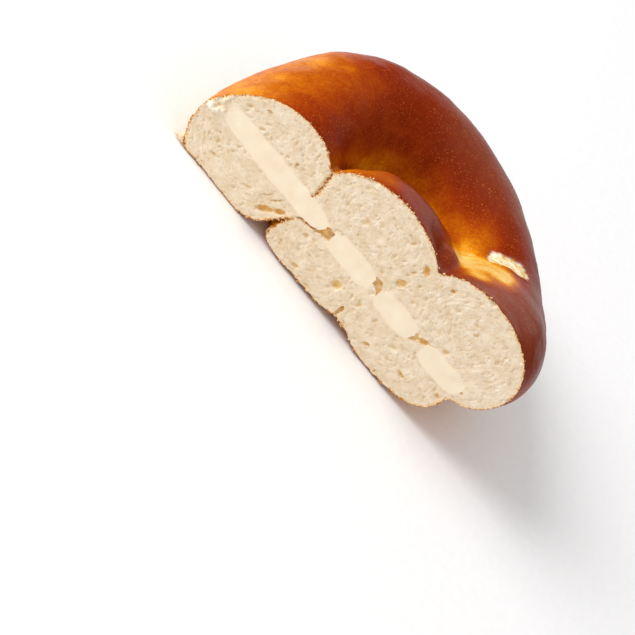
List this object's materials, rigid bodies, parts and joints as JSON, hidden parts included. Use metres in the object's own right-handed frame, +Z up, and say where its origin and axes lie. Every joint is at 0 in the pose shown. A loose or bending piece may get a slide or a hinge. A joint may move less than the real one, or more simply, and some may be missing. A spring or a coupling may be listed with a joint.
{
  "type": "butter pretzel half",
  "caption": "Half of a soft lye pretzel, cut through belly and twist, split level and filled with slices of butter; a piece of bread to eat by hand.",
  "frame": {"origin": "below the middle of the half's bounding box, on the surface that it lies on", "axes": "+X along the cut from the thick belly to the twist, -Y out of the cut face, +Y towards the loop's far side, +Z up out of the baked top"},
  "size_m": [0.1252, 0.0836, 0.0495],
  "materials": {
    "crust": "baked lye crust with a low gloss, over pale crumb at the cut",
    "heel": "baked crust, dull underneath, over pale crumb at the cut",
    "butter": "chilled butter, cut with a knife"
  },
  "bodies": {
    "root": {"bread_top": "crust", "bread_bottom": "heel", "butter_belly": "butter", "butter_turn": "butter", "butter_middle": "butter", "butter_twist": "butter"}
  },
  "joints": []
}
